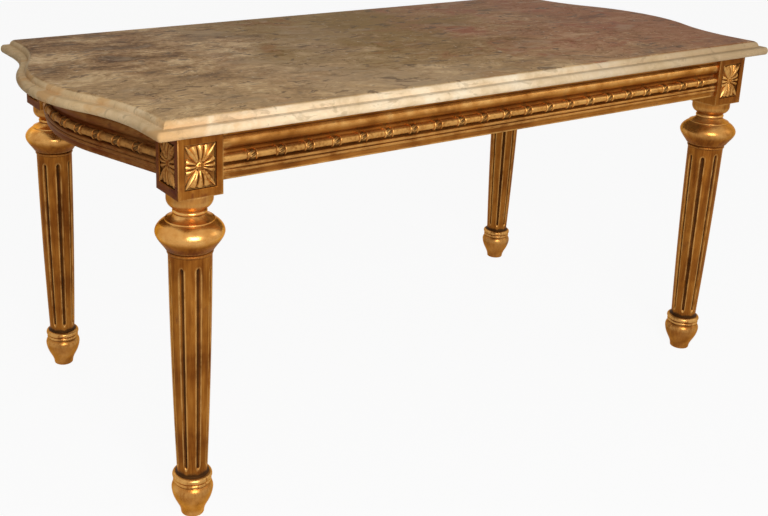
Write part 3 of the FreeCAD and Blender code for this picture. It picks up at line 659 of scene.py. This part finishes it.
def turned_leg_tree():
    """Turns an outline about the Z axis and cuts round-ended flutes into the shaft."""
    given, wire = shape_tree("turned_leg", {
        "Outline": "Geometry", "Columns": "Int", "Flutes": "Int", "Flute Share": "Float",
        "Flute Depth": "Float", "Flute Foot": "Float", "Flute Head": "Float", "Head Drift": "Float",
        "Flute End": "Float", "Turn": "Float", "Seed": "Int", "Place": "Vector", "Finish": "Material"})
    rows = wire.node("GeometryNodeAttributeDomainSize", {"Geometry": given["Outline"]})
    sheet = wire.node("GeometryNodeMeshGrid", {"Vertices X": given["Columns"] + 1, "Vertices Y": rows})
    index = wire.node("GeometryNodeInputIndex")
    row = index % rows
    column = math.floor(index / rows)
    spot = wire.node("GeometryNodeInputPosition")
    sample = wire.node("GeometryNodeSampleIndex", {
        "Geometry": given["Outline"], "Value": spot, "Index": row}, data_type="FLOAT_VECTOR")
    radius, level = sample.along("X"), sample.along("Z")
    turns = column / given["Columns"] * given["Flutes"]
    number = math.floor(turns + 0.5)
    aside = abs(turns - number) / given["Flute Share"]
    drift = wire.node("FunctionNodeRandomValue", {
        2: -1.0, 3: 1.0, "ID": number % given["Flutes"], "Seed": given["Seed"]}, out=1)
    head = given["Flute Head"] + drift * given["Head Drift"]
    above = (level - head) / given["Flute End"]
    below = (given["Flute Foot"] - level) / given["Flute End"]
    past = above.most(below).most(0.0)
    inside = 1 - aside * aside - past * past
    cut = inside.most(0.0).root() * given["Flute Depth"]
    angle = turns / given["Flutes"] * (2 * math.pi) + given["Turn"]
    x = angle.cosine() * (radius - cut)
    y = angle.sine() * (radius - cut)
    turned = wire.node("ShaderNodeCombineXYZ", {"X": x, "Y": y, "Z": level})
    moved = wire.node("ShaderNodeVectorMath", {0: turned, 1: given["Place"]})
    skin = wire.node("GeometryNodeSetPosition", {"Geometry": sheet, "Position": moved})
    skin = wire.node("GeometryNodeMergeByDistance", {"Geometry": skin, "Distance": 5e-6})
    return close_tree(skin, given["Finish"])


def make_legs():
    tree = turned_leg_tree()
    outline = [(radius, 0.0, level) for radius, level in leg_outline()]
    for index, (corner, (side, depth)) in enumerate(CORNERS.items()):
        node = "leg_" + corner
        piece = grow("turned_" + node, tree, line_mesh(outline), {
            "Columns": leg_columns, "Flutes": flute_count,
            "Flute Share": flute_columns * flute_count / leg_columns, "Flute Depth": flute_depth,
            "Flute Foot": flute_foot, "Flute Head": flute_head, "Head Drift": flute_drift,
            "Flute End": flute_end, "Turn": math.radians(leg_turns[corner] + 180 / flute_count),
            "Seed": index, "Place": (side * leg_x, depth * leg_y, 0.0), "Finish": gilt_upright})
        closed_up(piece.data)
        surfaced(piece.data, "leg")
        # Burnish and painted light by height, scaled per leg: the far legs are painted darker as painted
        # shade
        table = [*foot_burnish_light, *((shaft_head + up, share) for up, share in bulb_burnish_light)]
        mark_burnish_and_light(piece.data, [(level, share * leg_light_share[corner]) for level, share in table])
        join_frame(piece, node)


# Rails and carved rods

def rail_section():
    """Moulding of a rail: distance out from the proudest line and height over the underside, in metres."""
    face = section_line((-2.5, 0.0), [
        ((-2.5, 7.5),),
        ((0.0, 10.0), (-2.5, 12.5)),
        ((0.0, 15.0), (-2.5, 17.5)),
        ((-7.0, 19.0),),
        ((-7.0, 31.6),),
        ((-6.3, 34.84), (-3.5, 37.0)),
        ((0.0, 44.75), (-3.5, 52.5)),
        ((-5.0, 52.5),),
        ((-5.0, 54.5),),
        ((-3.5, 54.5),),
        ((-3.5, 61.0),),
    ], spacing=0.7)
    whole = [(-26.0, 0.0), *face, (-26.0, 61.0)]
    return [(out * MM, up * MM) for out, up in softened(whole, radius=0.5)]


def moulded_rail_tree():
    """Runs a rail's section along a path that lies level."""
    given, wire = shape_tree("moulded_rail", {
        "Path": "Geometry", "Section": "Object", "Finish": "Material"})
    path = wire.node("GeometryNodeMeshToCurve", {"Mesh": given["Path"]})
    path = wire.node("GeometryNodeSetCurveNormal", {"Curve": path}, mode="Z_UP")
    section = wire.node("GeometryNodeMeshToCurve", {"Mesh": given["Section"].shape()})
    body = wire.node("GeometryNodeCurveToMesh", {
        "Curve": path, "Profile Curve": section, "Fill Caps": True})
    return close_tree(body, given["Finish"])


def carved_rod_tree():
    """A round rod along a path, with beads at even spaces."""
    given, wire = shape_tree("carved_rod", {
        "Path": "Geometry", "Bead": "Object", "Spaces": "Int", "Radius": "Float", "Finish": "Material"})
    path = wire.node("GeometryNodeMeshToCurve", {"Mesh": given["Path"]})
    path = wire.node("GeometryNodeSetCurveNormal", {"Curve": path}, mode="Z_UP")
    ring = wire.node("GeometryNodeCurvePrimitiveCircle", {"Resolution": 24, "Radius": given["Radius"]})
    stick = wire.node("GeometryNodeCurveToMesh", {
        "Curve": path, "Profile Curve": ring, "Fill Caps": True})
    spots = wire.node("GeometryNodeCurveToPoints", {"Curve": path, "Count": given["Spaces"] + 1})
    turn = Wire(wire.tree, spots.socket.node.outputs["Rotation"])
    index = wire.node("GeometryNodeInputIndex")
    between = (index > 0.5) * (index < given["Spaces"] - 0.5)
    beads = wire.node("GeometryNodeInstanceOnPoints", {
        "Points": spots, "Selection": between, "Instance": given["Bead"].shape(), "Rotation": turn})
    both = wire.node("GeometryNodeJoinGeometry", {"Geometry": [stick, beads]})
    return close_tree(both, given["Finish"])


def bead_mesh():
    """Carved bead along Z: a sunk, twisted barrel between two thick rings; an attribute marks the barrel,
    which is painted in shade.
    """
    rows, columns = 33, 40
    half, ring, ring_foot, ring_swell, barrel = 7.2, 2.7, 4.5, 2.1, 4.9
    shell = bmesh.new()
    knot = shell.verts.layers.float.new("knot")
    loops = []
    for row in range(rows):
        z = -half + 2 * half * row / (rows - 1)
        inner = max(0.0, 1 - abs(z) / (half - ring))
        loop = []
        for column in range(columns):
            turn = 2 * math.pi * column / columns
            if abs(z) > half - ring:
                share = (half - abs(z)) / ring
                radius = ring_foot + ring_swell * math.sin(math.pi * (0.04 + 0.90 * share)) ** 0.7
            else:
                twist = 0.75 * math.cos(5 * turn + z * 0.55) * min(1.0, inner * 3)
                radius = barrel + twist + 0.5 * min(1.0, inner * 2)
            x, y = radius * math.cos(turn), radius * math.sin(turn)
            vertex = shell.verts.new((x * MM, y * MM, z * MM))
            vertex[knot] = min(1.0, inner * 4)
            loop.append(vertex)
        loops.append(loop)
    loft(shell, loops)
    return mesh_of(shell)


def bow_points(out, past):
    """Points of the left bowed line, back to front, set out from the proudest line."""
    radius = crown_radius + out
    reach = inner_y + past
    fall = (reach - radius * math.sin(flank_angle)) * math.tan(flank_angle)
    points = [(fall - crown_centre - radius * math.cos(flank_angle), -reach)]
    steps = 40
    for index in range(steps + 1):
        turn = flank_angle * (1 - 2 * index / steps)
        points.append((-(crown_centre + radius * math.cos(turn)), -radius * math.sin(turn)))
    points.append((points[0][0], reach))
    return points[::-1]


def straight_points(out):
    """Points of the front straight line, left to right, set out from the proudest line."""
    steps = 60
    return [(-inner_x + 2 * inner_x * step / steps, -(front_plane + out)) for step in range(steps + 1)]


def make_rails():
    rail_tree, rod_tree = moulded_rail_tree(), carved_rod_tree()
    section_points = [(out, -up, 0.0) for out, up in rail_section()]
    section = standing("rail_section", line_mesh(section_points, True))
    bead = standing("bead", bead_mesh())

    def path(line, way, level):
        return line_mesh([(way * x, way * y, level) for x, y in line])

    for side, way in (("front", 1), ("back", -1), ("left", 1), ("right", -1)):
        bowed = side in ("left", "right")
        rail_line = bow_points(0.0, joint_overrun) if bowed else straight_points(0.0)
        # End rails and rods take the shaded copies of the gilding, as painted shade
        rail = grow("moulded_rail_" + side, rail_tree, path(rail_line, way, rail_bottom), {
            "Section": section, "Finish": gilt_shaded_end if bowed else gilt_long})
        rod_line = bow_points(rod_out, 0.0) if bowed else straight_points(rod_out)
        spaces = round(sum(math.dist(a, b) for a, b in zip(rod_line, rod_line[1:])) / bead_pitch)
        rod = grow("beaded_rod_" + side, rod_tree, path(rod_line, way, rod_level), {
            "Bead": bead, "Spaces": spaces, "Radius": rod_radius,
            "Finish": gilt_shaded_carving if bowed else gilt_carved})
        for piece, kind in ((rail, "rail"), (rod, "rod")):
            closed_up(piece.data, inner_y if bowed else None)
            surfaced(piece.data, kind)
        # The swell's upper part is burnished bright, partly as wear and partly as painted highlight
        mark_burnish_and_light(rail.data, [(rail_bottom + up, share) for up, share in swell_burnish_light])
        bare_inside(rail.data, bowed)
        join_frame(rail, "rail_" + side)
        join_frame(rod, "carved_rod_" + side)
    bpy.data.objects.remove(section)
    bpy.data.objects.remove(bead)


def bare_inside(mesh, bowed):
    """The face of a rail that looks into the frame is left as plain wood."""
    mesh.materials.append(wood_deep if bowed else wood_long)
    axis = 0 if bowed else 1
    for face in mesh.polygons:
        if face.normal[axis] * math.copysign(1.0, face.center[axis]) < -0.6:
            face.material_index = 1


# Marble slab

def slab_outline(inset):
    """Edge of the slab in plan, set in from its nose: straight sides, serpentine ends, eased corners."""
    corner_x, corner_y = slab_high.x - slab_bow - inset, slab_high.y - inset
    reach = slab_high.y - slab_shoulder
    radius = (slab_bow ** 2 + reach ** 2) / (4 * slab_bow)
    turn = math.asin(reach / (2 * radius))
    hollow_x, crown_x = slab_high.x - slab_bow + radius, slab_high.x - radius
    ease = max(slab_corner - inset, least_corner)
    corner_steps, arc_steps, side_steps = 6, 18, 24
    right = []

    def add_arc(x, y, around, angles):
        right.extend((x + around * math.cos(angle), y + around * math.sin(angle)) for angle in angles)

    add_arc(corner_x - ease, ease - corner_y, ease,
            [math.pi / 2 * (step / corner_steps - 1) for step in range(corner_steps + 1)])
    add_arc(hollow_x, -reach, radius + inset,
            [math.pi - turn * step / arc_steps for step in range(arc_steps + 1)])
    shoulder = right[::-1]
    add_arc(crown_x, 0.0, radius - inset,
            [turn * (step / arc_steps - 1) for step in range(1, 2 * arc_steps)])
    right += [(x, -y) for x, y in shoulder]
    sides = [(corner_x - ease) * (1 - 2 * step / side_steps) for step in range(1, side_steps)]
    back = [(x, corner_y) for x in sides]
    left = [(-x, -y) for x, y in right]
    return [*right, *back, *left, *((-x, -corner_y) for x in sides)]


def make_slab():
    """Slab with its moulded edge: a full nose, a ledge and an ovolo under the polished face."""
    edge = section_line((-2.2, 0.0), [
        ((0.0, 5.04), (-3.4, 11.2)),
        ((-11.8, 11.6),),
        ((-12.0, 12.7),),
        ((-14.0, 17.5), (-18.2, 20.0)),
    ], spacing=0.8)
    edge = softened([(-12.0, 0.0), (-4.0, 0.0), *edge, (-19.0, 20.0), (-21.0, 20.0)], radius=0.7, least=15)
    thickness, drawn_thickness = slab_high.z - slab_low.z, 20.0
    shell = bmesh.new()
    loops = []
    for out, up in edge:
        level = slab_low.z + thickness * up / drawn_thickness
        loops.append([shell.verts.new((x, y, level)) for x, y in slab_outline(-out * MM)])
    loft(shell, loops)
    bmesh.ops.recalc_face_normals(shell, faces=shell.faces)
    mesh = mesh_of(shell)
    mesh.materials.append(brown_marble)
    slab = standing("moulded_slab", mesh)
    surfaced(mesh, "slab")
    join_frame(slab, "marble_top", "top")


# Corner blocks and rosettes

def carved_block_mesh(sides):
    """Block about its own middle with a sunk panel in each of its two outer faces."""
    h, up = half_block, (block_high.z - block_low.z) / 2
    panel_low, panel_high = panel_foot - up, panel_foot + panel_height - up
    shell = bmesh.new()

    def rim(way, out, aside, low, high):
        """Four points of the upright face that looks along way."""
        spots = ((-aside, low), (aside, low), (aside, high), (-aside, high))
        return [shell.verts.new((way[0] * out - way[1] * a, way[1] * out + way[0] * a, z)) for a, z in spots]

    for way in ((-1, 0), (1, 0), (0, -1), (0, 1)):
        rims = [rim(way, h, h, -up, up)]
        if way in sides:
            rims += [rim(way, out, panel_width / 2, panel_low, panel_high) for out in (h, h - panel_depth)]
        loft(shell, rims, foot=False)
    bmesh.ops.remove_doubles(shell, verts=shell.verts, dist=1e-6)
    bmesh.ops.holes_fill(shell, edges=[edge for edge in shell.edges if edge.is_boundary], sides=4)
    bmesh.ops.recalc_face_normals(shell, faces=shell.faces)
    edges = [edge for edge in shell.edges if edge.calc_face_angle(0) > 0.5]
    bmesh.ops.bevel(shell, geom=edges, offset=arris_round, segments=2, profile=0.5, affect="EDGES",
                    clamp_overlap=True)
    broad = [face for face in shell.faces if face.calc_area() > broad_area]
    bmesh.ops.inset_individual(shell, faces=broad, thickness=face_margin, use_even_offset=True)
    return mesh_of(shell)


def leaf_mesh(ribs, root, width, foot, tip, height, cut):
    """Carved leaf along +X over the ground: unit long, with rounded ribs between sharp grooves."""
    rows, columns = 17, 10 * ribs + 1
    shell = bmesh.new()
    grid = []
    for row in range(rows):
        u = row / (rows - 1)
        line = []
        for column in range(columns):
            v = 2 * column / (columns - 1) - 1
            rib = abs(math.cos(math.pi * ribs * v / 2)) ** 0.7
            reach = 1 - tip * abs(v) ** 1.8 - 0.07 * (1 - rib) * u * u
            spread = foot + (1 - foot) * u ** 0.8 if ribs > 1 else math.sin(math.pi * (0.16 + 0.70 * u))
            swell = 0.30 + 0.70 * math.sin(math.pi * (0.06 + 0.80 * u))
            rise = height * swell * (1 - 0.25 * v * v) * (1 - cut * (1 - rib) * min(1.0, 0.3 + u * 2))
            line.append(shell.verts.new((root + (1 - root) * u * reach, v * width * spread, rise)))
        grid.append(line)
    for low, high in zip(grid, grid[1:]):
        for column in range(columns - 1):
            shell.faces.new((low[column], high[column], high[column + 1], low[column + 1]))
    rim = [edge for edge in shell.edges if edge.is_boundary]
    skirt = bmesh.ops.extrude_edge_only(shell, edges=rim)["geom"]
    for item in skirt:
        if isinstance(item, bmesh.types.BMVert):
            item.co.z = -carving_root
    bmesh.ops.holes_fill(shell, edges=[edge for edge in shell.edges if edge.is_boundary], sides=0)
    bmesh.ops.recalc_face_normals(shell, faces=shell.faces)
    return mesh_of(shell)


def button_mesh():
    """Four-lobed button with a pip, over the ground."""
    rings, columns, height = 12, 48, button_height
    shell = bmesh.new()
    middle = shell.verts.new((0, 0, height))
    loops = []
    for ring in range(1, rings + 1):
        share = ring / rings
        loop = []
        for column in range(columns):
            turn = 2 * math.pi * column / columns
            lobe = 0.5 + 0.5 * math.cos(4 * turn)
            out = button_radius * share * (0.84 + 0.16 * lobe)
            up = height * (math.sqrt(max(0.0, 1 - share ** 2.6)) * 0.86)
            up += 0.14 * height * max(0.0, 1 - (share / 0.30) ** 2)
            up -= 0.16 * height * (1 - lobe) * math.sin(math.pi * min(1.0, share * 1.1))
            up -= carving_root * (ring == rings)
            loop.append(shell.verts.new((out * math.cos(turn), out * math.sin(turn), up)))
        loops.append(loop)
    for column in range(columns):
        on = (column + 1) % columns
        shell.faces.new((middle, loops[0][column], loops[0][on]))
        for inner, outer in zip(loops, loops[1:]):
            shell.faces.new((inner[column], outer[column], outer[on], inner[on]))
    shell.faces.new(list(reversed(loops[-1])))
    return mesh_of(shell)


def ground_mesh():
    """Ground of a rosette: a plate with a raised bead round its rim."""
    shell = bmesh.new()
    w, h = panel_width / 2 - rosette_play, panel_height / 2 - rosette_play
    rims = []
    bead = ((0.0, 0.0001), (0.0004, 0.0006), (0.0011, 0.0006), (0.0015, 0.0), (0.0017, 0.0))
    for inset, up in ((0.0, -rosette_ground), *bead):
        rims.append([shell.verts.new((x * (w - inset), y * (h - inset), up)) for x, y in SQUARE])
    loft(shell, rims)
    return mesh_of(shell)


def rosette_tree():
    """Four broad leaves and four corner leaves round a button on a ground, facing the panel's way."""
    given, wire = shape_tree("rosette", {
        "Seed Mesh": "Geometry", "Half Width": "Float", "Half Height": "Float", "Leaf": "Object",
        "Corner Leaf": "Object", "Button": "Object", "Ground": "Object", "Turn": "Float",
        "Place": "Vector", "Finish": "Material"})
    index = wire.node("GeometryNodeInputIndex")
    odd = index % 2
    width, height = given["Half Width"], given["Half Height"]
    slant = height.arctan2(width)
    longer = width * width + height * height

    def ring(leaf, angle, length, across):
        line = wire.node("GeometryNodeMeshLine", {"Count": 4, "Offset": (0, 0, 0)})
        turn = wire.node("ShaderNodeCombineXYZ", {"Z": angle})
        size = wire.node("ShaderNodeCombineXYZ", {"X": length, "Y": across, "Z": 1.0})
        return wire.node("GeometryNodeInstanceOnPoints", {
            "Points": line, "Instance": leaf.shape(), "Rotation": turn, "Scale": size})

    quarter = index * (math.pi / 2)
    broad = ring(given["Leaf"], quarter, width + (height - width) * odd, width * (0.64 + 0.20 * odd))
    slanted = quarter + slant + odd * (math.pi / 2 - slant * 2)
    corner = ring(given["Corner Leaf"], slanted, longer.root(), width)
    flat = wire.node("GeometryNodeJoinGeometry", {
        "Geometry": [broad, corner, given["Button"].shape(), given["Ground"].shape()]})
    upright = wire.node("GeometryNodeTransform", {"Geometry": flat, "Rotation": (math.pi / 2, 0, 0)})
    turn = wire.node("ShaderNodeCombineXYZ", {"Z": given["Turn"]})
    facing = wire.node("GeometryNodeTransform", {
        "Geometry": upright, "Rotation": turn, "Translation": given["Place"]})
    return close_tree(facing, given["Finish"])


def make_blocks():
    tree = rosette_tree()
    leaf = standing("leaf", leaf_mesh(
        ribs=3, root=0.20, width=0.86, foot=0.28, tip=0.10, height=0.0044, cut=0.74))
    spear = standing("corner_leaf", leaf_mesh(
        ribs=1, root=0.20, width=0.19, foot=0.0, tip=0.0, height=0.0046, cut=0.7))
    button = standing("button", button_mesh())
    ground = standing("ground", ground_mesh())
    level = block_bottom + panel_foot + panel_height / 2
    floor = half_block - panel_depth + rosette_ground
    for corner, (side, depth) in CORNERS.items():
        mesh = carved_block_mesh({(side, 0), (0, depth)})
        mesh.transform(Matrix.Translation((side * leg_x, depth * leg_y, (block_low.z + block_high.z) / 2)))
        mesh.materials.append(gilt_block)
        mesh.materials.append(gilt_shaded_end)
        # Faces that look along X take the shaded copy of the gilding, as painted shade
        for face in mesh.polygons:
            face.material_index = int(face.normal.x * side > 0.7)
        block = standing("carved_block_" + corner, mesh)
        mark_block(mesh, side, depth)
        smooth(mesh, block_sharp_angle)
        join_frame(block, "corner_block_" + corner)
        faces = {
            "front": (0.0 if depth < 0 else math.pi, (side * leg_x, depth * (leg_y + floor), level)),
            "side": (side * math.pi / 2, (side * (leg_x + floor), depth * leg_y, level)),
        }
        for face, (turn, place) in faces.items():
            node = f"rosette_{corner}_{face}"
            # Side rosettes take the shaded copy of the gilding, as painted shade
            piece = grow("leafy_" + node, tree, bpy.data.meshes.new("seed"), {
                "Half Width": panel_width / 2 - leaf_margin, "Half Height": panel_height / 2 - leaf_margin,
                "Leaf": leaf, "Corner Leaf": spear, "Button": button, "Ground": ground, "Turn": turn,
                "Place": place, "Finish": gilt_carved if face == "front" else gilt_shaded_carving})
            surfaced(piece.data, "rosette")
            join_frame(piece, node)
    for source in (leaf, spear, button, ground):
        bpy.data.objects.remove(source)


def mark_block(mesh, side, depth):
    """Relief of a block: its rounded arrises stand out, and its panels lie back; the gilding paints the
    panels dark as painted shade and the arrises bright as rubbed gold and painted highlight.
    """
    near, arris = 1e-4, arris_round * 1.2
    x, y, level = points_of(mesh).T
    x, y = side * x - leg_x, depth * y - leg_y
    z = level - block_bottom - panel_foot - panel_height / 2
    half_panel = panel_width / 2 + near
    sunk = np.maximum(np.where((abs(y) <= half_panel) & (x > 0), half_block - x, 0),
                      np.where((abs(x) <= half_panel) & (y > 0), half_block - y, 0))
    in_panel = (abs(z) <= panel_height / 2 + near) & (sunk > arris) & (sunk < panel_depth + near)
    on_arris = np.maximum(half_block - abs(x), half_block - abs(y)) < arris
    on_arris |= (block_high.z - level < arris) | (level - block_bottom < arris)
    mark(mesh, "relief", np.where(in_panel, panel_relief, np.where(on_arris, arris_relief, 0.0)))


# Kept nodes, floor, light and camera

def dress_kept_nodes():
    finishes = {"marble_pads": cork_pad, "rail_dowels": wood_long}
    finishes |= {"brace_screws": steel, "bearer_screws": steel}
    finishes |= {"corner_brace_" + corner: wood_deep for corner in CORNERS}
    finishes |= {"cross_bearer_" + side: wood_deep for side in ("left", "right")}
    for name, material in finishes.items():
        nodes[name].data.materials.clear()
        nodes[name].data.materials.append(material)


def make_floor():
    """White floor that keeps a soft shadow of the table."""
    mesh = bpy.data.meshes.new("floor")
    reach, whiteness = 9.0, 0.93
    mesh.from_pydata([(x * reach, y * reach, 0) for x, y in SQUARE], [], [(0, 1, 2, 3)])
    floor = standing("floor", mesh)
    material, shader, wire = finish("white_floor")
    feed(shader, Base_Color=(0.62, 0.62, 0.62, 1), Roughness=0.9, Specular_IOR_Level=0.0)
    glow = wire.node("ShaderNodeEmission", {"Color": (1, 1, 1, 1), "Strength": 1.0})
    lit = Wire(wire.tree, shader.outputs[0])
    seen = wire.node("ShaderNodeMixShader", {0: seen_directly(wire) * whiteness, 1: lit, 2: glow})
    wire.tree.links.new(seen.socket, wire.tree.nodes["Material Output"].inputs["Surface"])
    mesh.materials.append(material)


def seen_directly(wire):
    """1 for rays from the camera and for mirrored or refracted rays, 0 for light."""
    path = wire.tree.nodes.new("ShaderNodeLightPath").outputs
    rays = ("Is Camera Ray", "Is Glossy Ray", "Is Transmission Ray")
    camera, mirrored, refracted = (Wire(wire.tree, path[name]) for name in rays)
    return (camera + mirrored + refracted).least(1.0)


def make_light():
    world = bpy.data.worlds.new("studio")
    scene.world = world
    world.use_nodes = True
    wire = Wire(world.node_tree)
    base = world.node_tree.nodes["Background"]
    feed(base, Color=(1.0, 0.985, 0.96, 1), Strength=0.28)
    white = wire.node("ShaderNodeBackground", {"Color": (1, 1, 1, 1), "Strength": 1.0})
    soft = Wire(wire.tree, base.outputs[0])
    both = wire.node("ShaderNodeMixShader", {0: seen_directly(wire), 1: soft, 2: white})
    wire.tree.links.new(both.socket, wire.tree.nodes["World Output"].inputs["Surface"])
    for name, place, aim, size, power in (
        ("key_light", (-0.8, -1.95, 1.2), (-0.1, -0.1, 0.36), 1.0, 42.0),
        ("side_light", (2.2, -1.6, 1.6), (0.2, 0.0, 0.4), 1.2, 4.0),
        ("back_light", (-0.8, 2.4, 2.0), (0.0, 0.0, 0.45), 1.4, 5.0),
    ):
        lamp = bpy.data.lights.new(name, "AREA")
        lamp.size, lamp.energy = size, power
        holder = bpy.data.objects.new(name, lamp)
        holder.location = place
        holder.rotation_euler = (Vector(aim) - Vector(place)).to_track_quat("-Z", "Y").to_euler()
        holder.visible_camera = False
        scene.collection.objects.link(holder)


def make_camera():
    """Camera at the photograph's viewing angle, with lens shifts for a picture of 768 by 516."""
    lens = bpy.data.cameras.new("camera")
    lens.sensor_width, lens.lens = 36.0, 50.4035
    lens.shift_x, lens.shift_y = 0.13556, -0.14132
    camera = bpy.data.objects.new("camera", lens)
    heading, pitch, roll = (math.radians(angle) for angle in (-31.53855, 90 - 16.61447, 0.90343))
    turn = Matrix.Rotation(heading, 4, "Z") @ Matrix.Rotation(pitch, 4, "X")
    turn = turn @ Matrix.Rotation(roll, 4, "Z")
    place = (-0.998257, -1.299119, 0.838670)
    camera.matrix_world = Matrix.Translation(place) @ turn
    scene.collection.objects.link(camera)
    scene.camera = camera


make_camera()
make_light()
make_floor()
dress_kept_nodes()
make_legs()
make_rails()
make_blocks()
make_slab()

bpy.context.view_layer.update()
